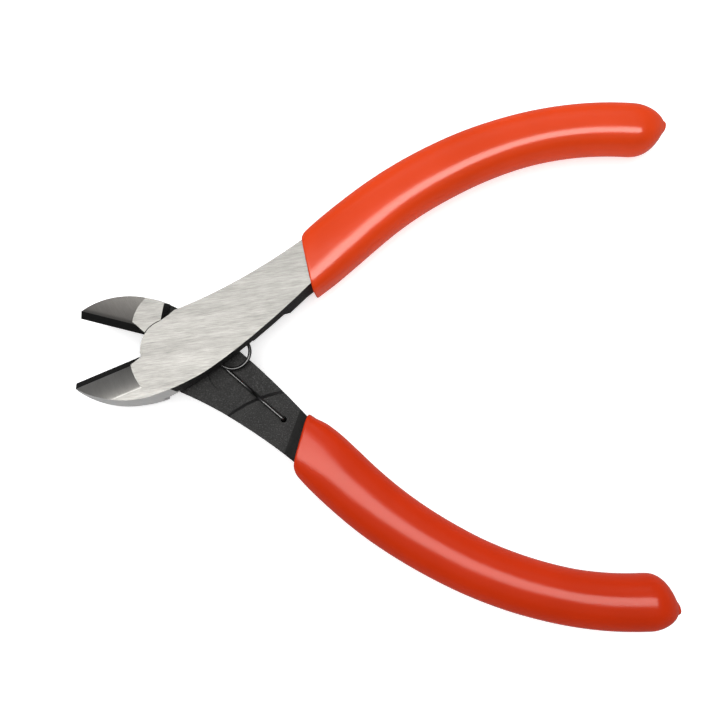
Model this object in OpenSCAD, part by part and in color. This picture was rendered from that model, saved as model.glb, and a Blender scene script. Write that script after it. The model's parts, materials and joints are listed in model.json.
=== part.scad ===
// Small diagonal cutting pliers with a flat lap joint, dipped handles and a wire return spring.
// The pivot axis is Z, z = 0 is the rear ground face, and the handles point along +X.
// Each half is drawn as it lies closed, with its own outer face up, then turned and swung open.

/* [Joint] */
// Thickness over the two ground faces
joint_t = 7; // [6:0.5:8]
// Radius of each half's round nose about the pivot
nose_r = 5; // [4.8:0.1:5.1]
// Gap between a nose and the recess that it turns in
nose_gap = 0.15; // [0.1:0.05:0.3]
// Gap between the two lapped bearing faces
lap_gap = 0.04; // [0.02:0.02:0.1]
// Radius of the bearing face around the pivot
boss_r = 6.2; // [5.8:0.1:6.4]
// Depth of the relief beyond the bearing face
relief_d = 0.45; // [0.4:0.05:0.6]
// Total angle from fully open to closed
open_angle = 37; // [30:1:38]

/* [Rivet] */
// Radius of the rivet's shank
rivet_r = 1.9; // [1.5:0.1:2.2]
// Radius of its countersunk heads at the ground faces
rivet_head_r = 2.7; // [2.4:0.1:3]
// Depth of each countersunk head
rivet_head_h = 0.8; // [0.6:0.1:1]
// Running clearance around the rivet in the rear half
rivet_gap = 0.03; // [0.02:0.01:0.05]

/* [Jaws] */
// Distance from the pivot to the tip of the jaws
tip_reach = 18; // [17.5:0.1:18]
// Angle between the cutting line and the handles' centre line
cant = 5; // [4:0.5:6]
// Width of the blunt end of a jaw
tip_w = 1.6; // [1.4:0.1:1.8]
// Radius of a jaw's rounded back
back_r = 16.9; // [16.6:0.1:17.2]
// Depth of the lowest point of the back below the centre line
back_y = 7.6; // [7.4:0.1:7.8]
// How much the back narrows from the middle to either face
back_draft = 0.6; // [0.2:0.1:0.8]
// Width of the cutting bevel, seen from the front
bevel_w = 1.2; // [1:0.05:1.5]
// Half the jaw's thickness where the bevel ends
bevel_h = 1.15; // [0.9:0.05:1.4]
// Length of the cutting edge
edge_len = 12.6; // [12.2:0.1:12.6]
// Radius of the front jaw's rounded facet, behind the bevel
front_facet_r = 9; // [8.5:0.5:14]
// Radius of the rear jaw's rounded facet
rear_facet_r = 30; // [20:1:40]
// Gap between the cutting edges when closed
edge_gap = 0.04; // [0.02:0.02:0.1]

/* [Shanks and tangs] */
// Height of a shank's raised inner face above the middle plane
raise_h = 1.5; // [1.2:0.1:1.6]
// Where the vinyl sleeve starts, from the pivot
sleeve_x = 26.8; // [26.6:0.1:27]
// Half the thickness of the tang inside the sleeve
tang_h = 2.4; // [2:0.1:2.6]
// Half the width of the tang
tang_w = 2.9; // [2.6:0.1:3.2]

/* [Handle bow, with the tool closed] */
// Where the bow is farthest from the centre line
bow_x = 65.5; // [64:0.5:67]
// How far it is from the centre line there
bow_y = 17; // [16.5:0.5:17.5]
// Radius of the bow before that point
bow_r1 = 76; // [74:1:78]
// Radius of the bow after that point
bow_r2 = 53.5; // [52:0.5:55]
// Where the bow's own centre line ends
bow_end_x = 87; // [86:0.5:88]

/* [Sleeves] */
// Half the width of a sleeve
sleeve_w = 4.9; // [4.8:0.1:5.1]
// Half the thickness of a sleeve
sleeve_h = 4.4; // [4.3:0.1:4.6]
// How far the drip nib stands past the sleeve's round end
nib_len = 1; // [0.6:0.1:1.2]
// Radius of the nib's point
nib_r = 0.7; // [0.5:0.1:0.9]

/* [Spring] */
// Diameter of the spring wire
wire_d = 0.6; // [0.5:0.05:0.6]
// Mean radius of the coil
coil_r = 2.95; // [2.8:0.05:3]
// Distance from the pivot to the coil's centre
coil_x = 10.3; // [10.2:0.1:10.5]
// Depth of the pocket that the coil moves in
pocket_d = 0.9; // [0.8:0.05:1]
// Diameter of the holes that hold the legs
leg_hole_d = 1.05; // [0.9:0.05:1.2]

/* [Hidden] */

$fn = 96;
half_t = joint_t / 2;
half_open = open_angle / 2;
big = 40;

ground_steel = [0.80, 0.79, 0.77];
black_oxide = [0.20, 0.20, 0.20];
vinyl = [0.90, 0.30, 0.13];

function turned(p, a) = [p[0] * cos(a) - p[1] * sin(a), p[0] * sin(a) + p[1] * cos(a)];
// Points along an arc about c, from angle a0 to angle a1
function arc(c, r, a0, a1, n) = [for (i = [0 : n]) c + turned([r, 0], a0 + (a1 - a0) * i / n)];
// Points along a cubic curve with the control points p, from t0 to t1
function curve_at(p, t) = pow(1 - t, 3) * p[0] + 3 * t * pow(1 - t, 2) * p[1]
    + 3 * t * t * (1 - t) * p[2] + pow(t, 3) * p[3];
function curve(p, t0, t1, n) = [for (i = [0 : n]) curve_at(p, t0 + (t1 - t0) * i / n)];

// The two long edges of a head and shank, from the head to just inside the sleeve
outer_edge = [[2.6, 6.1], [9, 6.4], [18, 8], [27, 11]];
inner_edge = [[-5, -back_y], [4, -7.4], [17.5, -1.4], [26.9, 3.5]];
// The nose ends at this angle, and a shoulder leads from it to the outer edge
nose_end_a = 95;
shoulder = [1.4, 5.55];
// The rounded back of a jaw starts where the inner edge starts, and ends at the blunt tip
back_c = [inner_edge[0][0], back_r - back_y];
back_end_a = 180 + asin((back_c[1] + tip_w) / back_r);
// Towards the joint the back's taper fades out, on a rounder sweep that ends here
back_fade_r = 42;
back_fade_x = 8;

// A jaw is as thick as the joint outside the recess of the other half's nose, up to this line
recess_r = nose_r + nose_gap;
jaw_end = [[-3, -3], [-3.9, -8.1]];
// A circle bounds the flat face that the grinding leaves between each jaw's facet and the joint
front_flat_c = [1.9, -1.3];
front_flat_r = 9;
rear_flat_c = [-1.5, -3.6];
rear_flat_r = 6.4;
facet_end_x = -2.5;
// Where the flat is beside the bevel, the cut is this wide. It starts to narrow here along the edge,
// and over this length comes down to its width at the throat.
front_cut_w = 1.85;
rear_cut_w = 1.3;
runout_x = 10.3;
runout_len = 2.7;
front_throat_w = 1.05;
rear_throat_w = 0;
// The facets rise to the full thickness over these widths, and their cuts start a little inside the bevel
front_facet_w = 4.9;
rear_facet_w = 7.2;
facet_start = 1.13;

// A round step leads up to the raised inner face of a shank
step_c = [30, 18];
step_r = 19.5;
step_run = 0.9;
lap_end_x = 22;
// The shank swells on its inner face before the sleeve, and thins on its outer face inside it
swell_x = 24.6;
thin_x = 31;

// The blind hole for a spring leg, in the raised face
leg_hole = [22.5, 4.8];
leg_hole_depth = 3;

// Centres of the handle's two bows, and the end of the second one
bow_c1 = [bow_x, bow_y - bow_r1];
bow_c2 = [bow_x, bow_y - bow_r2];
bow_end_a = acos((bow_end_x - bow_x) / bow_r2);
bow_end = bow_c2 + turned([bow_r2, 0], bow_end_a);
// The sleeve is slimmer past the bow's farthest point, and slimmer again at its round end
far_scale = 0.96;
end_scale = 0.94;
// The nib leans to the outside of the handle
nib_a = -8;
nib_root_r = 2.4;

// A point measured along the cutting edge from the tip, and out of the metal from the edge.
// side is 1 for the front half, and -1 for the rear half, which is flipped over when placed.
function edge_point(side, along, out) = [-tip_reach, -edge_gap / 2] + turned([along, out], side * cant);

module head_outline(side) {
    throat = edge_point(side, edge_len, 0);
    throat_a = 180 - side * asin(abs(throat[1]) / norm(throat));
    polygon(concat(
        [[-tip_reach, -tip_w], edge_point(side, 0, 0), throat],
        arc([0, 0], nose_r, throat_a, nose_end_a, 20),
        [shoulder],
        curve(outer_edge, 0, 1, 12),
        curve(inner_edge, 1, 0, 20),
        arc(back_c, back_r, 268, back_end_a, 24)));
}

// A band along the handle's bow, reaching w to either side of its centre line
module bow_band(w) {
    intersection() {
        translate(bow_c1) difference() {
            circle(r = bow_r1 + w);
            circle(r = bow_r1 - w);
        }
        translate([sleeve_x, 0]) square([bow_x - sleeve_x, big]);
    }
    intersection() {
        translate(bow_c2) difference() {
            circle(r = bow_r2 + w);
            circle(r = bow_r2 - w);
        }
        polygon([bow_c2, bow_c2 + turned([2 * bow_r2, 0], bow_end_a), bow_c2 + [0, 2 * bow_r2]]);
    }
}

// Where a half may be as thick as the whole joint
module full_jaw_outline() {
    difference() {
        polygon([[-big, big], [jaw_end[0][0], big], jaw_end[0], jaw_end[1], [jaw_end[1][0], -big], [-big, -big]]);
        circle(r = recess_r);
    }
}

// The blank of a half: its outline from above, cut to its outline from the side
module blank(side) {
    intersection() {
        translate([0, 0, -half_t]) union() {
            linear_extrude(joint_t) head_outline(side);
            linear_extrude(joint_t) bow_band(tang_w);
        }
        rotate([90, 0, 0]) translate([0, 0, -big]) linear_extrude(2 * big)
            polygon([[-big, -half_t], [lap_end_x, -half_t], [lap_end_x, -raise_h], [swell_x, -raise_h],
                [sleeve_x + 0.2, -tang_h], [2 * bow_x, -tang_h], [2 * bow_x, tang_h], [thin_x, tang_h],
                [sleeve_x + 0.2, half_t], [-big, half_t]]);
    }
}

// What is cut away so that the other half can lie against this one
module lap_cut() {
    difference() {
        translate([0, 0, -big]) {
            linear_extrude(big + lap_gap / 2) lap_outline();
            linear_extrude(big + relief_d) difference() {
                lap_outline();
                circle(r = boss_r);
            }
        }
        translate([step_c[0], step_c[1], -raise_h])
            cylinder(r1 = step_r, r2 = step_r + step_run, h = raise_h + relief_d);
    }
}

module lap_outline() {
    difference() {
        translate([-big, -big]) square([big + lap_end_x, 2 * big]);
        full_jaw_outline();
    }
}

// The pocket for the coil, which swings about the pivot as the tool opens
module coil_pocket() {
    pocket_r = coil_r + wire_d / 2 + 0.5;
    translate([0, 0, pocket_d - half_t]) for (i = [0 : 3])
        rotate(-half_open * i / 3) translate([coil_x, 0]) cylinder(r = pocket_r, h = half_t);
}

// What is ground off one face of a jaw: the cutting bevel, and the rounded facet behind it
module jaw_grinding(side) {
    // the facet's circle passes through the end of the bevel and the edge of the face
    facet_r = side > 0 ? front_facet_r : rear_facet_r;
    rise = [side > 0 ? -front_facet_w : -rear_facet_w, half_t - bevel_h];
    chord = norm(rise);
    facet_c = [-bevel_w, bevel_h] + rise / 2
        + sqrt(facet_r * facet_r - chord * chord / 4) * [-rise[1], rise[0]] / chord;
    tip = edge_point(side, 0, 0);
    cut_w = side > 0 ? front_cut_w : rear_cut_w;
    runout_end = [runout_x + runout_len, side > 0 ? -front_throat_w : -rear_throat_w];
    translate([tip[0], tip[1], 0]) rotate(side * cant) intersection() {
        translate([-1, 0, 0]) rotate([90, 0, 90]) linear_extrude(edge_len + 2)
            polygon([[1, 0], [0, 0], cut_w / bevel_w * [-bevel_w, bevel_h], [-cut_w, joint_t], [1, joint_t]]);
        linear_extrude(joint_t)
            polygon([[-1, -cut_w], [runout_x, -cut_w], runout_end, [runout_end[0], bevel_w / 2], [-1, bevel_w / 2]]);
    }
    difference() {
        linear_extrude(joint_t) difference() {
            polygon([edge_point(side, -2, -facet_start), edge_point(side, 16, -facet_start),
                [facet_end_x, -12], [-big, -12]]);
            translate(side > 0 ? front_flat_c : rear_flat_c) circle(r = side > 0 ? front_flat_r : rear_flat_r);
            translate([facet_end_x, -big]) square(2 * big);
        }
        translate([tip[0], tip[1], 0]) rotate(side * cant) translate([-5, facet_c[0], facet_c[1]])
            rotate([0, 90, 0]) cylinder(r = facet_r, h = 25);
    }
}

// The taper of a jaw's back from the middle plane to one face
module back_taper() {
    back_sweep(back_r, -big, back_c[0]);
    back_sweep(back_fade_r, back_c[0], back_fade_x);
}

// What lies outside a tapered back of radius r, from x0 to x1
module back_sweep(r, x0, x1) {
    difference() {
        translate([x0, -big, 0]) cube([x1 - x0, big, joint_t]);
        translate([back_c[0], r - back_y, 0]) cylinder(r1 = r + 0.01, r2 = r - 2 * back_draft, h = joint_t);
    }
}

// One half of the tool, lying closed with its outer face up and its middle plane at z = 0
module tool_half(side, pin_gap) {
    difference() {
        blank(side);
        lap_cut();
        coil_pocket();
        for (flip = [0, 1]) mirror([0, 0, flip]) {
            jaw_grinding(side);
            back_taper();
        }
        translate([0, 0, -half_t]) cylinder(r = rivet_r + pin_gap, h = joint_t);
        translate([0, 0, half_t - rivet_head_h])
            cylinder(r1 = rivet_r + pin_gap, r2 = rivet_head_r + pin_gap, h = rivet_head_h);
        translate([leg_hole[0], leg_hole[1], -half_t])
            cylinder(d = leg_hole_d, h = half_t - raise_h + leg_hole_depth);
    }
}

// Cross-section of a sleeve, a rounded oval, from angle a0 to angle a1 around it
function oval(x) = sign(x) * pow(abs(x), 0.6);
module sleeve_section(a0, a1) {
    polygon([for (a = [a0 : 15 : a1]) [sleeve_w * oval(cos(a)), sleeve_h * oval(sin(a))]]);
}

// A sleeve over one handle, in the same pose as its half
module sleeve() {
    difference() {
        union() {
            intersection() {
                translate([bow_c1[0], bow_c1[1], 0]) rotate_extrude() translate([bow_r1, 0]) sleeve_section(0, 345);
                translate([sleeve_x, 0, -big]) cube([bow_x - sleeve_x, big, 2 * big]);
            }
            translate([bow_c2[0], bow_c2[1], 0]) rotate(bow_end_a) rotate_extrude(angle = 90 - bow_end_a)
                translate([bow_r2, 0]) scale(far_scale) sleeve_section(0, 345);
            translate([bow_end[0], bow_end[1], 0]) {
                scale(end_scale) rotate_extrude() sleeve_section(-90, 90);
                rotate([0, 90, nib_a]) cylinder(r1 = nib_root_r, r2 = nib_r, h = sleeve_w + nib_len - nib_r);
                rotate(nib_a) translate([sleeve_w + nib_len - nib_r, 0, 0]) sphere(r = nib_r);
            }
        }
        blank(1);
    }
}

// Places for what is drawn lying closed, with the tool open
module as_front() { translate([0, 0, half_t]) rotate(half_open) children(); }
module as_rear() { translate([0, 0, half_t]) rotate(-half_open) rotate([180, 0, 0]) children(); }

module front_half() { color(ground_steel) as_front() tool_half(1, 0); }
module rear_half() { color(black_oxide) as_rear() tool_half(-1, rivet_gap); }
module front_grip() { color(vinyl) as_front() sleeve(); }
module rear_grip() { color(vinyl) as_rear() sleeve(); }

module pivot_rivet() {
    color(ground_steel) {
        cylinder(r1 = rivet_head_r, r2 = rivet_r, h = rivet_head_h);
        cylinder(r = rivet_r, h = joint_t);
        translate([0, 0, joint_t - rivet_head_h])
            cylinder(r1 = rivet_r, r2 = rivet_head_r, h = rivet_head_h);
    }
}

// The spring's path starts in the rear half's hole, runs straight to the coil, goes round it
// once and on, and is the same again after half a turn about the X axis, so only the first
// half of it is worked out. A path point is [x, y, z, heading seen from above].
wire_r = wire_d / 2;
rear_leg = turned([leg_hole[0], -leg_hole[1]], -half_open);
leg_span = rear_leg - [coil_x, 0];
tangent_a = atan2(leg_span[1], leg_span[0]) - acos(coil_r / norm(leg_span));
tangent = [coil_x, 0] + turned([coil_r, 0], tangent_a);
leg_len = norm(rear_leg - tangent);
leg_over = raise_h + wire_r + 0.1;
coil_low = -wire_r - 0.02;
bend_r = 0.5;
coil_sweep = 360 + tangent_a;
coil_steps = 16;
wire_sides = 8;

function leg_point(k, z) = let (p = rear_leg + (tangent - rear_leg) * k / leg_len)
    [p[0], p[1], z, tangent_a - 90];
first_half = concat(
    [leg_point(0, -1), leg_point(0, leg_over - bend_r)],
    [for (a = [30, 60, 90]) leg_point(bend_r * (1 - cos(a)), leg_over - bend_r * (1 - sin(a)))],
    [leg_point(5.3, leg_over), leg_point(7.9, 0), leg_point(leg_len - 2, coil_low)],
    [for (i = [0 : coil_steps]) let (a = tangent_a - coil_sweep * i / coil_steps)
        [coil_x + coil_r * cos(a), coil_r * sin(a), coil_low * (1 - i / coil_steps), a - 90]]);
path_half = len(first_half);
wire_path = concat(first_half, [for (i = [path_half - 2 : -1 : 0]) let (p = first_half[i])
    [p[0], -p[1], -p[2], 180 - p[3]]]);

// Points of one ring around the wire, at path point i
function wire_ring(i) = let (
    last = len(wire_path) - 1,
    p = wire_path[i],
    a = wire_path[max(i - 1, 0)],
    b = wire_path[min(i + 1, last)],
    run = [b[0] - a[0], b[1] - a[1], b[2] - a[2]],
    across = [sin(p[3]), -cos(p[3]), 0],
    up = cross(across, run / norm(run)))
    [for (j = [0 : wire_sides - 1]) let (f = 360 * j / wire_sides)
        [p[0], p[1], p[2]] + wire_r * (cos(f) * across + sin(f) * up / norm(up))];

module return_spring() {
    rings = len(wire_path);
    n = wire_sides;
    color(black_oxide) translate([0, 0, half_t]) polyhedron(
        points = [for (i = [0 : rings - 1]) each wire_ring(i)],
        faces = concat(
            [[for (j = [0 : n - 1]) j]],
            [for (i = [0 : rings - 2], j = [0 : n - 1])
                [i * n + j, (i + 1) * n + j, (i + 1) * n + (j + 1) % n, i * n + (j + 1) % n]],
            [[for (j = [n - 1 : -1 : 0]) (rings - 1) * n + j]]));
}

rear_half();
front_half();
pivot_rivet();
rear_grip();
front_grip();
return_spring();
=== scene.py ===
"""Small diagonal cutting pliers: ground and blackened halves, dipped vinyl sleeves, wire return spring.

Each half and its sleeve are worked out in millimetres in the half's own frame, which is the one
part.scad draws in: the tool closed, the pivot at the origin, the handle along +X, the half's own
outer face up. place() takes them to the row frame, in metres, with the tool open.
"""
import bmesh
import bpy
import json
import math
from mathutils import Matrix, Vector


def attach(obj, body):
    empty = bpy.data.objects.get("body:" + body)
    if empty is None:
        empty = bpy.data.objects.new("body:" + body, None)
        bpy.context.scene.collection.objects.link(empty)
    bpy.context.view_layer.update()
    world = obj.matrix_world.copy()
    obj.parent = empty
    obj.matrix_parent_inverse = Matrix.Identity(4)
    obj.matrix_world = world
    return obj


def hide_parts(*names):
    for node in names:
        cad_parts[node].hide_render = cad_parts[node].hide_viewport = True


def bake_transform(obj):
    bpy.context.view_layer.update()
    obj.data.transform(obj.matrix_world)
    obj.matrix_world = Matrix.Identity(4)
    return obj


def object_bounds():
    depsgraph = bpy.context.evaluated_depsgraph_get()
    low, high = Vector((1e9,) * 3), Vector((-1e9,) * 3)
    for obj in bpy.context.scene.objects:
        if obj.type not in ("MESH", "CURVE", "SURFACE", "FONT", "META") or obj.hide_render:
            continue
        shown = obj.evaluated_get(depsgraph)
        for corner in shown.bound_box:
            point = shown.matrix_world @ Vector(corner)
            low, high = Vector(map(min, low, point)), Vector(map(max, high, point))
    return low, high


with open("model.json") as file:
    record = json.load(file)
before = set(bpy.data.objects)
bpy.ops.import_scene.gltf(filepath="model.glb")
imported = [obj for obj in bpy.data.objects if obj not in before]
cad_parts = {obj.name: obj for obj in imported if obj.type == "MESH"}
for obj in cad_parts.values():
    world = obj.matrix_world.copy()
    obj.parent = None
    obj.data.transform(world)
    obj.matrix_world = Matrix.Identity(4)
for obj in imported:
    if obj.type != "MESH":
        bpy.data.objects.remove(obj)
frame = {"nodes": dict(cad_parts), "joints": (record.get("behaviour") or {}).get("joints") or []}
cad_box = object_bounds()

MM = 0.001
JOINT = frame["joints"][0]
HALF_OPEN = math.radians(JOINT["range_deg"][1]) / 2
MID_Z = JOINT["pos_m"][2]
# half the thickness over the joint, in millimetres
HALF_T = 3.5
FRONT, REAR = 1, -1


def place(side):
    """From a half's own frame in millimetres to the row frame in metres."""
    turn = Matrix.Rotation(HALF_OPEN * side, 4, "Z")
    if side == REAR:
        turn = turn @ Matrix.Rotation(math.pi, 4, "X")
    return Matrix.Translation((0, 0, MID_Z)) @ turn @ Matrix.Scale(MM, 4)


def along(table, x):
    """The value at x on a smooth curve through a table of (x, value) points."""
    if x <= table[0][0]:
        return table[0][1]
    if x >= table[-1][0]:
        return table[-1][1]
    slopes = []
    for i in range(len(table)):
        (x0, v0), (x1, v1) = table[max(i - 1, 0)], table[min(i + 1, len(table) - 1)]
        slopes.append((v1 - v0) / (x1 - x0))
    i = max(k for k in range(len(table) - 1) if table[k][0] <= x)
    (x0, v0), (x1, v1) = table[i], table[i + 1]
    h = x1 - x0
    t = (x - x0) / h
    return ((1 + 2 * t) * (1 - t) ** 2 * v0 + t * (1 - t) ** 2 * h * slopes[i]
            + t * t * (3 - 2 * t) * v1 - t * t * (1 - t) * h * slopes[i + 1])


def skin(bm, rows):
    """Joins rings of vertices, each to the next, into a tube."""
    for r0, r1 in zip(rows, rows[1:]):
        for j in range(len(r0)):
            after = (j + 1) % len(r0)
            bm.faces.new((r0[j], r0[after], r1[after], r1[j]))


def as_object(bm, name, matrix, materials):
    """The finished bmesh as an object in the scene, moved by the matrix."""
    bm.transform(matrix)
    mesh = bpy.data.meshes.new(name)
    bm.to_mesh(mesh)
    bm.free()
    for m in materials:
        mesh.materials.append(m)
    obj = bpy.data.objects.new(name, mesh)
    bpy.context.scene.collection.objects.link(obj)
    return obj


# ---------------------------------------------------------------- materials

# tones() and spread() change over this part of a noise's values, and stay at their ends outside it
NOISE_LOW, NOISE_HIGH = 0.3, 0.7


def scaled(colour, k):
    return tuple(c * k for c in colour)


class Nodes:
    """Short names for building one material's node tree."""

    def __init__(self, name):
        self.mat = bpy.data.materials.new(name)
        self.mat.use_nodes = True
        self.tree = self.mat.node_tree
        self.shader = self.tree.nodes["Principled BSDF"]
        self.where = self.tree.nodes.new("ShaderNodeTexCoord").outputs["Object"]

    def link(self, out, node, socket):
        self.tree.links.new(out, node.inputs[socket])

    def set(self, **values):
        for k, v in values.items():
            self.shader.inputs[k.replace("_", " ")].default_value = v

    def stretched(self, angle, scale):
        """Object coordinates turned by angle about Z, then scaled."""
        turn = self.tree.nodes.new("ShaderNodeMapping")
        turn.inputs["Rotation"].default_value = (0, 0, math.radians(angle))
        size = self.tree.nodes.new("ShaderNodeMapping")
        size.inputs["Scale"].default_value = scale
        self.link(self.where, turn, "Vector")
        self.link(turn.outputs[0], size, "Vector")
        return size.outputs[0]

    def noise(self, vector, scale, detail=3, roughness=0.55):
        n = self.tree.nodes.new("ShaderNodeTexNoise")
        n.inputs["Scale"].default_value = scale
        n.inputs["Detail"].default_value = detail
        n.inputs["Roughness"].default_value = roughness
        self.link(vector, n, "Vector")
        return n.outputs["Fac"]

    def ramp(self, fac, *stops):
        """Stops are (position, colour)."""
        r = self.tree.nodes.new("ShaderNodeValToRGB")
        while len(r.color_ramp.elements) < len(stops):
            r.color_ramp.elements.new(0.5)
        for e, (p, c) in zip(r.color_ramp.elements, stops):
            e.position = p
            e.color = (*c, 1)
        self.link(fac, r, "Fac")
        return r.outputs["Color"]

    def tones(self, noise, dark, light):
        """One colour to the other over a noise's values."""
        return self.ramp(noise, (NOISE_LOW, dark), (NOISE_HIGH, light))

    def spread(self, noise, lo, hi):
        """One number to the other over a noise's values."""
        m = self.tree.nodes.new("ShaderNodeMapRange")
        for k, v in (("From Min", NOISE_LOW), ("From Max", NOISE_HIGH), ("To Min", lo), ("To Max", hi)):
            m.inputs[k].default_value = v
        self.link(noise, m, "Value")
        return m.outputs["Result"]

    def mix(self, share, a, b):
        """Colour a, with a share of colour b."""
        m = self.tree.nodes.new("ShaderNodeMix")
        m.data_type = "RGBA"
        m.inputs[0].default_value = share
        self.link(a, m, 6)
        self.link(b, m, 7)
        return m.outputs[2]

    def bump(self, height, strength, distance, under=None):
        b = self.tree.nodes.new("ShaderNodeBump")
        b.inputs["Strength"].default_value = strength
        b.inputs["Distance"].default_value = distance
        self.link(height, b, "Height")
        if under is not None:
            self.link(under, b, "Normal")
        return b.outputs["Normal"]


def ground_steel(name, angle, light, dark, rough, fine=1.0, metallic=1.0):
    """Bare steel off a surface grinder: fine streaks one way, slightly uneven."""
    n = Nodes(name)
    n.set(Metallic=metallic)
    streaks = n.noise(n.stretched(angle, (420 * fine, 6500 * fine, 900)), 1.0, 4, 0.7)
    broad = n.noise(n.stretched(angle, (60, 900, 200)), 1.0, 2)
    grain = n.noise(n.where, 9000 * fine, 2)
    middle = tuple((a + b) / 2 for a, b in zip(dark, light))
    tone = n.ramp(streaks, (0.3, dark), (0.5, middle), (0.72, light))
    tone = n.mix(0.35, tone, n.tones(broad, dark, light))
    tone = n.mix(0.15, tone, n.tones(grain, dark, light))
    n.link(tone, n.shader, "Base Color")
    n.link(n.spread(streaks, rough + 0.06, rough - 0.06), n.shader, "Roughness")
    n.link(n.bump(streaks, 0.35, 0.00002, n.bump(grain, 0.25, 0.00001)), n.shader, "Normal")
    return n.mat


def black_oxide(name, base, rough, grain_size, speckle, gloss):
    """Blackened forged steel: nearly black, with a fine blasted grain and grey specks."""
    n = Nodes(name)
    n.set(Metallic=0.0, Specular_IOR_Level=gloss)
    grain = n.noise(n.where, grain_size, 5, 0.7)
    blotch = n.noise(n.where, grain_size / 9, 3)
    tone = n.ramp(grain, (0.34, scaled(base, 0.45)), (0.52, base), (0.74, scaled(base, speckle)))
    tone = n.mix(0.3, tone, n.tones(blotch, scaled(base, 0.6), scaled(base, 1.5)))
    n.link(tone, n.shader, "Base Color")
    n.link(n.spread(blotch, rough - 0.07, rough + 0.07), n.shader, "Roughness")
    n.link(n.bump(grain, 0.8, 0.0001), n.shader, "Normal")
    return n.mat


def dipped_vinyl(name, tone, gloss):
    """Glossy dipped PVC: saturated, with a faint orange peel and slow waviness from the dip."""
    n = Nodes(name)
    n.set(IOR=1.5, Specular_IOR_Level=gloss)
    slow = n.noise(n.where, 55, 2)
    peel = n.noise(n.where, 700, 2)
    n.link(n.tones(slow, scaled(tone, 0.92), scaled(tone, 1.06)), n.shader, "Base Color")
    n.link(n.spread(slow, 0.16, 0.22), n.shader, "Roughness")
    n.link(n.bump(peel, 0.04, 0.0001, n.bump(slow, 0.12, 0.0006)), n.shader, "Normal")
    return n.mat


def plain_metal(name, base, rough, metallic, grain):
    """Smooth metal with a very fine grain, for wire and the painted edge highlight."""
    n = Nodes(name)
    n.set(Metallic=metallic)
    fine = n.noise(n.where, grain, 3)
    n.link(n.tones(fine, scaled(base, 0.75), scaled(base, 1.2)), n.shader, "Base Color")
    n.link(n.spread(fine, rough - 0.05, rough + 0.05), n.shader, "Roughness")
    n.link(n.bump(fine, 0.2, 0.00001), n.shader, "Normal")
    return n.mat


BRUSHED = ground_steel("brushed_face", -8, (0.31, 0.307, 0.299), (0.145, 0.143, 0.139), 0.5)
# the rear half's facets are painted shade: a darker copy of the front's ground steel
FACET = {FRONT: ground_steel("ground_facet", 60, (0.38, 0.374, 0.367), (0.28, 0.275, 0.268), 0.42, 2.0),
         REAR: ground_steel("ground_facet_painted_shade", 60, (0.165, 0.159, 0.155), (0.125, 0.12, 0.117), 0.5, 2.0)}
# the ground backs are ground steel lightened by a painted reflection of the white floor, which reflections
# don't see
BACK = ground_steel("ground_back_painted_reflection", 0, (0.60, 0.597, 0.592), (0.50, 0.497, 0.492), 0.5, 1.2, 0.4)
OXIDE = black_oxide("black_oxide", (0.010, 0.010, 0.0102), 0.6, 4400, 9.0, 0.2)
# the bevels' darker black, also used as painted shade on the slope down to the sleeve
BLACK_BEVEL_AND_SHADE = black_oxide("black_bevel_and_painted_shade", (0.006, 0.006, 0.006), 0.6, 7000, 1.8, 0.12)
# painted highlight: a light, mostly diffuse grey for the bright lines along eased edges
PAINTED_EDGE_HIGHLIGHT = plain_metal("painted_edge_highlight", (0.62, 0.62, 0.61), 0.45, 0.3, 6000)
WIRE = plain_metal("spring_wire", (0.065, 0.065, 0.067), 0.3, 1.0, 9000)
# the rear sleeve's vinyl is painted shade: a darker, less glossy copy of the front's, for the dimmer light it
# lies in
VINYL = {FRONT: dipped_vinyl("dipped_vinyl", (0.70, 0.048, 0.003), 0.36),
         REAR: dipped_vinyl("dipped_vinyl_painted_shade", (0.51, 0.026, 0.0018), 0.18)}

# the order of a half's material slots
M_BRUSHED, M_FACET, M_BACK, M_OXIDE, M_BEVEL_AND_PAINTED_SHADE, M_PAINTED_HIGHLIGHT = range(6)


# ---------------------------------------------------------------- the two halves

# the tip of the jaws, the angle of the cutting line, and how far from it the black bevel reaches
TIP, CANT, BEVEL_W = Vector((-18, -0.02)), math.radians(5), 1.3
# where along X the jaws' finishes end, where the ground backs' ends, and where the sleeve slope's starts
JAW_END_X, BACK_END_X, SLOPE_X = -3.2, -0.8, 22
# vertices closer than WELD become one, and so do faces that turn by less than FLAT
WELD, FLAT = 0.02, math.radians(0.8)
# edges that turn by more than SHARP are bevelled, but not near the rivet; EASE is the width asked for
SHARP, EASE, RIVET_ZONE = math.radians(24), 0.09, 3.2
# faces that turn by less than this are shaded as one
SMOOTH = math.radians(30)


def half_finish(side, centre, normal):
    """Which finish a face of a half has, from its place and direction in the half's own frame."""
    x, y, w = centre
    nx, ny, nz = normal
    from_edge = (y - TIP.y) * math.cos(CANT) - side * (x - TIP.x) * math.sin(CANT)
    if abs(nz) > 0.9995 and abs(w) > HALF_T - 0.1 and (x < 1 or nz > 0):
        return M_BRUSHED
    # the black bevel along the cutting edge, and the end of the tip
    if x < JAW_END_X and (from_edge > -BEVEL_W or nx < -0.8):
        return M_BEVEL_AND_PAINTED_SHADE
    if x < JAW_END_X and abs(nz) > 0.6 and abs(w) > 1:
        return M_FACET
    if (x < BACK_END_X and ny < 0 and abs(nz) < 0.3 and (nx < 0.6 or side == FRONT)
            and (w > 0 or x < -2.9)):
        return M_BACK
    # painted shade: the slope down to the sleeve gets the bevels' darker black, for the shade it lies in
    if x > SLOPE_X and 0.2 < abs(nz) < 0.98:
        return M_BEVEL_AND_PAINTED_SHADE
    return M_OXIDE


def gets_painted_highlight(side, centre, normal):
    """Whether an eased edge gets the painted highlight: the front face's inner edge, and the rear shank's outer
    one.
    """
    x, y, w = centre
    if not 0.2 < abs(normal.z) < 0.98:
        return False
    if side == FRONT:
        return w > HALF_T - 0.2 and normal.y < -0.2 and x > -2
    return w < 0.6 and normal.y > 0.2 and x > 7


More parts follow.
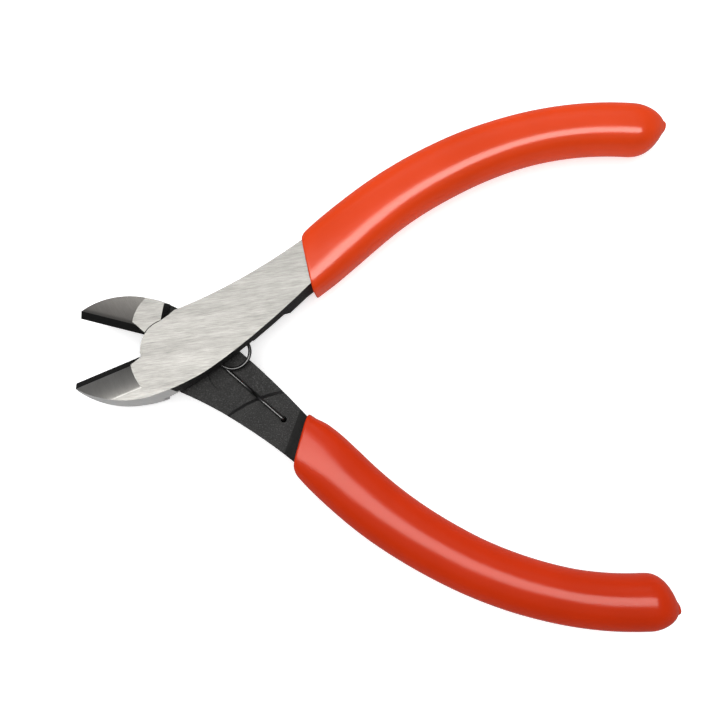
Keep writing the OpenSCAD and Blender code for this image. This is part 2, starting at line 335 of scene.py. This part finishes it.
def half(name, node, side, body):
    """A half as the CAD has it, with its finishes told apart.

    The bevel is clamped by the mesh's shortest edges. On average it comes out 1.3 micrometres wide
    on the rear half and 0.02 on the front half, so neither it nor the painted edge highlight shows.
    """
    bm = bmesh.new()
    bm.from_mesh(frame["nodes"][node].data)
    to_row = place(side)
    bm.transform(to_row.inverted())
    bmesh.ops.remove_doubles(bm, verts=bm.verts, dist=WELD)
    bmesh.ops.dissolve_limit(bm, angle_limit=FLAT, verts=bm.verts, edges=bm.edges)
    bm.normal_update()
    for f in bm.faces:
        f.material_index = half_finish(side, f.calc_center_median(), f.normal)
        f.smooth = True
    sharp = []
    for e in bm.edges:
        if not e.is_manifold or e.calc_face_angle() < SHARP:
            continue
        middle = (e.verts[0].co + e.verts[1].co) / 2
        if middle.xy.length < RIVET_ZONE and abs(middle.z) > 1:
            continue
        sharp.append(e)
    made = bmesh.ops.bevel(bm, geom=sharp, offset=EASE, offset_type="OFFSET", segments=2, profile=0.6,
                           affect="EDGES", clamp_overlap=True, material=-1)
    bm.normal_update()
    for f in made["faces"]:
        f.smooth = True
        if gets_painted_highlight(side, f.calc_center_median(), f.normal):
            f.material_index = M_PAINTED_HIGHLIGHT
    obj = as_object(bm, name, to_row, (BRUSHED, FACET[side], BACK, OXIDE, BLACK_BEVEL_AND_SHADE, PAINTED_EDGE_HIGHLIGHT))
    obj.data.set_sharp_from_angle(angle=SMOOTH)
    even = obj.modifiers.new("even", "WEIGHTED_NORMAL")
    even.keep_sharp = True
    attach(obj, body)
    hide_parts(node)


half("rear_half_look", "rear_half", REAR, "rear_lever")
half("front_half_look", "front_half", FRONT, "front_lever")

for rivet_slot in frame["nodes"]["pivot_rivet"].material_slots:
    rivet_slot.material = BRUSHED

# ---------------------------------------------------------------- the sleeves

# the handle's centre line: two arcs that meet where it lies farthest from the X axis
BOW_X, BOW_Y, BOW_R1, BOW_R2 = 65.5, 17.0, 76.0, 53.5
MOUTH_X, BOW_END_X = 26.6, 87.0
BOW_START = math.acos((MOUTH_X - BOW_X) / BOW_R1)
BOW_1 = BOW_R1 * (BOW_START - math.pi / 2)
BOW_2 = BOW_R2 * (math.pi / 2 - math.acos((BOW_END_X - BOW_X) / BOW_R2))
# how far the tip lies past the bow, how far it hangs to the outside, how long the round end is
TIP_PAST, TIP_OUT, END_LENGTH = 5.65, {FRONT: 1.2, REAR: 1.6}, {FRONT: 6.2, REAR: 5.3}
# the drip at the tip: its radius, and how far it stands out of the dome
DRIP_R, DRIP_LONG = 1.4, 0.5
# how far a sleeve reaches to the outside and to the inside of the bow, by distance from its mouth
OUTSIDE = {
    FRONT: [(0, 4.6), (1.8, 5.0), (3.4, 5.1), (6.5, 5.1), (12, 5.0), (20, 4.95), (28, 4.84), (35, 4.73),
            (42, 4.5), (50, 4.37), (58, 4.36), (64, 4.34)],
    REAR: [(0, 4.6), (1.8, 5.05), (3.4, 5.18), (6.5, 5.22), (12, 5.14), (18, 5.08), (24, 4.94), (30, 4.84),
           (36, 4.8), (42, 4.73), (47, 4.71), (52, 4.8), (57, 4.93), (64, 5.12)]}
INSIDE = {
    FRONT: [(0, 3.8), (1, 4.1), (2, 4.4), (3, 4.65), (5, 4.95), (8, 5.15), (12, 5.15), (17, 5.0), (22, 4.87),
            (28, 4.78), (35, 4.6), (42, 4.48), (50, 4.43), (58, 4.4), (64, 4.36)],
    REAR: [(0, 3.15), (1, 3.5), (2, 4.05), (3, 4.5), (5, 4.95), (8, 5.13), (12, 5.1), (18, 4.97), (24, 4.85),
           (30, 4.73), (36, 4.58), (42, 4.54), (47, 4.45), (52, 4.28), (57, 4.18), (64, 4.05)]}
# half the thickness, and how square the section is
THICK = [(0, 4.05), (3, 4.2), (8, 4.33), (20, 4.35), (64, 4.35)]
SQUARE = {FRONT: [(0, 4.2), (3, 3.5), (8, 3.0), (14, 2.75), (24, 2.65), (64, 2.6)],
          REAR: [(0, 4.2), (3, 3.2), (8, 2.45), (14, 2.3), (24, 2.2), (64, 2.2)]}
# the mouth's rolled edge: how far from the mouth each ring is, with its share of the full width,
# and where the full rings start
ROLL, ROLL_LONG = [(0.0, 0.80), (0.0, 0.955), (0.08, 0.982), (0.22, 0.996)], 0.45
# the mouth is cut square to the handle's own axis, not to the bow: its lean, and how far that reaches
MOUTH_LEAN, LEAN_LONG = 0.71, 9
SIDES, BODY_RINGS, END_RINGS = 72, 110, 48


def bow(s):
    """The centre line's place and heading s millimetres from the mouth. Past its end it runs straight."""
    on_arc = min(s, BOW_1 + BOW_2)
    if on_arc <= BOW_1:
        radius, a = BOW_R1, BOW_START - on_arc / BOW_R1
    else:
        radius, a = BOW_R2, math.pi / 2 - (on_arc - BOW_1) / BOW_R2
    heading = a - math.pi / 2
    at = Vector((BOW_X + radius * math.cos(a), BOW_Y - radius + radius * math.sin(a)))
    return at + (s - on_arc) * Vector((math.cos(heading), math.sin(heading))), heading


def end_scale(d, end_length, radius):
    """How wide the round end is d past its start: an elliptic dome, and the drip that stands out of it."""
    dome_long = end_length - DRIP_LONG
    dome = max(0, 1 - (d / dome_long) ** 2.2) ** 0.58
    past = max(0, d - end_length + DRIP_R) / DRIP_R
    drip = DRIP_R / radius * min(1, d / dome_long) * math.sqrt(max(0, 1 - past * past))
    return (dome ** 3 + drip ** 3) ** (1 / 3)


def sleeve(name, node, side, body):
    """A dipped sleeve, swept along the handle's bow from its rolled mouth to its dome and drip."""
    tip = BOW_1 + BOW_2 + TIP_PAST
    end_at = tip - END_LENGTH[side]
    rings = ROLL + [(ROLL_LONG + i * (end_at - ROLL_LONG) / BODY_RINGS, 1.0) for i in range(BODY_RINGS + 1)]
    rings += [(end_at + END_LENGTH[side] * math.sin(math.pi / 2 * i / END_RINGS), 1.0)
              for i in range(1, END_RINGS + 1)]
    bm = bmesh.new()
    rows = []
    for s, draw in rings:
        at, heading = bow(s)
        ahead = Vector((math.cos(heading), math.sin(heading), 0))
        out = Vector((-math.sin(heading), math.cos(heading), 0))
        outside, inside = along(OUTSIDE[side], s), along(INSIDE[side], s)
        half_width, shift = (outside + inside) / 2, (outside - inside) / 2
        shift += TIP_OUT[side] * max(0, 1 + (s - tip) / TIP_PAST) ** 3
        half_height, square = along(THICK, s), along(SQUARE[side], s)
        size = draw * end_scale(max(0, s - end_at), END_LENGTH[side], half_width)
        lean = MOUTH_LEAN * max(0, 1 - s / LEAN_LONG) ** 2
        row = []
        for j in range(SIDES):
            around = 2 * math.pi * j / SIDES
            c, u = math.cos(around), math.sin(around)
            x = shift + half_width * size * math.copysign(abs(c) ** (2 / square), c)
            z = half_height * size * math.copysign(abs(u) ** (2 / square), u)
            row.append(bm.verts.new(Vector((at.x, at.y, z)) + out * x + ahead * lean * x))
        rows.append(row)
    skin(bm, rows)
    bm.faces.new(rows[0][::-1])
    # the last ring has shrunk to the drip's point
    bmesh.ops.remove_doubles(bm, verts=rows[-1], dist=0.001)
    for f in bm.faces:
        f.smooth = True
    bmesh.ops.recalc_face_normals(bm, faces=bm.faces)
    obj = as_object(bm, name, place(side), (VINYL[side],))
    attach(obj, body)
    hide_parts(node)


sleeve("rear_sleeve", "rear_grip", REAR, "rear_lever")
sleeve("front_sleeve", "front_grip", FRONT, "front_lever")

# ---------------------------------------------------------------- the return spring

# in millimetres about the pivot's middle, with the tool open
WIRE_R, COIL_R, COIL_X = 0.3, 2.95, 10.3
WIRE_SIDES, COIL_STEPS = 16, 60
# how high above the middle the rear leg runs, and the radius of its bend down into its hole
LEG_OVER, BEND_R = 1.9, 0.5
# how far from the hole it stays at that height, and where it is down at the middle
OVER_END, DOWN_AT = 5.3, 7.9
LEG_HOLE = Matrix.Rotation(-HALF_OPEN, 2) @ Vector((22.5, -4.8))
SPAN = LEG_HOLE - Vector((COIL_X, 0))
# where the leg leaves the coil, as an angle about the coil's centre and as a point
TANGENT_A = math.atan2(SPAN.y, SPAN.x) - math.acos(COIL_R / SPAN.length)
TANGENT = Vector((COIL_X + COIL_R * math.cos(TANGENT_A), COIL_R * math.sin(TANGENT_A)))
LEG_LEN = (LEG_HOLE - TANGENT).length
COIL_LOW = -WIRE_R - 0.02


def smooth_path(points, times):
    """The points with extra ones between them, on a Catmull-Rom curve."""
    out = []
    for i in range(len(points) - 1):
        p0, p1, p2 = points[max(i - 1, 0)], points[i], points[i + 1]
        p3 = points[min(i + 2, len(points) - 1)]
        for k in range(times):
            t = k / times
            out.append(0.5 * ((2 * p1) + (p2 - p0) * t + (2 * p0 - 5 * p1 + 4 * p2 - p3) * t * t
                              + (3 * p1 - p0 - 3 * p2 + p3) * t ** 3))
    out.append(points[-1])
    return out


def leg_path():
    """The rear leg, from inside its hole to the coil."""
    def at(k, z):
        p = LEG_HOLE.lerp(TANGENT, k / LEG_LEN)
        return Vector((p.x, p.y, z))
    points = [at(0, -1), at(0, 0), at(0, LEG_OVER - BEND_R)]
    for a in (30, 60, 90):
        a = math.radians(a)
        points.append(at(BEND_R * (1 - math.cos(a)), LEG_OVER - BEND_R * (1 - math.sin(a))))
    points += [at(2.5, LEG_OVER), at(OVER_END, LEG_OVER), at(DOWN_AT, 0)]
    points += [at(LEG_LEN - 2, COIL_LOW), at(LEG_LEN, COIL_LOW)]
    return smooth_path(points, 4)


def coil_path():
    """The coil, from the rear leg's tangent round and up to the front leg's."""
    sweep = 2 * math.pi + TANGENT_A
    points = []
    for i in range(2 * COIL_STEPS + 1):
        a = TANGENT_A - sweep * i / COIL_STEPS
        points.append(Vector((COIL_X + COIL_R * math.cos(a), COIL_R * math.sin(a),
                              COIL_LOW * (1 - i / COIL_STEPS))))
    return points


def wire(name, points):
    """A round wire along points, which are in millimetres about the pivot's middle."""
    bm = bmesh.new()
    rows = []
    across = None
    for i, p in enumerate(points):
        run = (points[min(i + 1, len(points) - 1)] - points[max(i - 1, 0)]).normalized()
        if across is None:
            # any direction across the wire's start does
            across = run.cross(Vector((0.3, 1, 0))).normalized()
        across = (across - run * across.dot(run)).normalized()
        up = run.cross(across)
        row = []
        for j in range(WIRE_SIDES):
            a = 2 * math.pi * j / WIRE_SIDES
            row.append(bm.verts.new(p + WIRE_R * (math.cos(a) * across + math.sin(a) * up)))
        rows.append(row)
    skin(bm, rows)
    bm.faces.new(rows[0][::-1])
    bm.faces.new(rows[-1])
    bmesh.ops.recalc_face_normals(bm, faces=bm.faces)
    for f in bm.faces:
        f.smooth = len(f.verts) == 4
    obj = as_object(bm, name, Matrix.Translation((0, 0, MID_Z)) @ Matrix.Scale(MM, 4), (WIRE,))
    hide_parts("return_spring")
    return obj


def spring():
    """The coil, and each leg from it to its own half's hole, baked in place with the tool open."""
    half_turn = Matrix.Rotation(math.pi, 4, "X")
    coil = wire("spring_coil", coil_path())
    rear = wire("spring_leg_rear", leg_path())
    front = wire("spring_leg_front", [half_turn @ p for p in leg_path()])
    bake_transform(coil)
    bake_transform(rear)
    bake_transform(front)


spring()

# ---------------------------------------------------------------- floor, lights and camera

# in metres: half the floor's side, how far it lies under the tool, and the point the lights face
FLOOR_HALF, UNDER, TOOL_MIDDLE = 3, 0.0001, (0.035, 0, 0.0035)
CAMERA_AT, CAMERA_TO, CAMERA_UP = (0.0477, -0.0303, 0.1703), (0.0323, -0.0012, 0.0035), (-0.0236, 0.9997, 0)

floor_mesh = bpy.data.meshes.new("floor")
floor_mesh.from_pydata([(-FLOOR_HALF, -FLOOR_HALF, 0), (FLOOR_HALF, -FLOOR_HALF, 0),
                        (FLOOR_HALF, FLOOR_HALF, 0), (-FLOOR_HALF, FLOOR_HALF, 0)], [], [(0, 1, 2, 3)])
floor = bpy.data.objects.new("floor", floor_mesh)
floor.location.z = cad_box[0].z - UNDER
bpy.context.scene.collection.objects.link(floor)
paper = Nodes("white_paper")
paper.set(Roughness=0.9, Base_Color=(0.93, 0.93, 0.93, 1), Specular_IOR_Level=0.1,
          Emission_Color=(1, 1, 1, 1), Emission_Strength=0.5)
floor_mesh.materials.append(paper.mat)
floor.visible_glossy = False


def aim(at, to, up=(0, 1, 0)):
    """A matrix at a point, looking at another, with up towards the top."""
    back = (Vector(at) - Vector(to)).normalized()
    right = Vector(up).cross(back).normalized()
    m = Matrix((right, back.cross(right), back)).transposed().to_4x4()
    m.translation = Vector(at)
    return m


def area_light(name, at, size, size_y, power):
    """A rectangular light that faces the tool."""
    data = bpy.data.lights.new(name, "AREA")
    data.shape = "RECTANGLE"
    data.size, data.size_y = size, size_y
    data.energy = power
    obj = bpy.data.objects.new(name, data)
    obj.matrix_world = aim(at, TOOL_MIDDLE)
    bpy.context.scene.collection.objects.link(obj)
    return obj


# the strip gives no diffuse light, and the other two show in no reflections
strip = area_light("strip", (0.035, -0.012, 0.62), 0.85, 0.24, 7.0)
strip.visible_diffuse = False
strip.data.color = (1.0, 0.985, 0.94)
overhead = area_light("overhead", (0.035, 0.0, 1.0), 2, 2, 16.5)
overhead.visible_glossy = False
key = area_light("key", (0.03, 0.33, 0.33), 0.3, 0.2, 0.6)
key.visible_glossy = False

# soft light from all round, a little brighter towards +Y
world = bpy.data.worlds.new("soft")
world.use_nodes = True
sky = world.node_tree
toward = sky.nodes.new("ShaderNodeSeparateXYZ")
level = sky.nodes.new("ShaderNodeMapRange")
for k, v in (("From Min", -0.7), ("From Max", 0.6), ("To Min", 0.2), ("To Max", 0.3)):
    level.inputs[k].default_value = v
sky.links.new(sky.nodes.new("ShaderNodeTexCoord").outputs["Generated"], toward.inputs[0])
sky.links.new(toward.outputs["Y"], level.inputs["Value"])
sky.links.new(level.outputs["Result"], sky.nodes["Background"].inputs["Strength"])
sky.nodes["Background"].inputs["Color"].default_value = (1, 1, 1, 1)

scene = bpy.context.scene
scene.world = world
scene.view_settings.view_transform = "Standard"
scene.view_settings.look = "None"

camera = bpy.data.objects.new("camera", bpy.data.cameras.new("camera"))
camera.data.lens, camera.data.sensor_width = 50, 36
camera.data.clip_start = 0.01
camera.matrix_world = aim(CAMERA_AT, CAMERA_TO, CAMERA_UP)
scene.collection.objects.link(camera)
scene.camera = camera

bpy.context.view_layer.update()
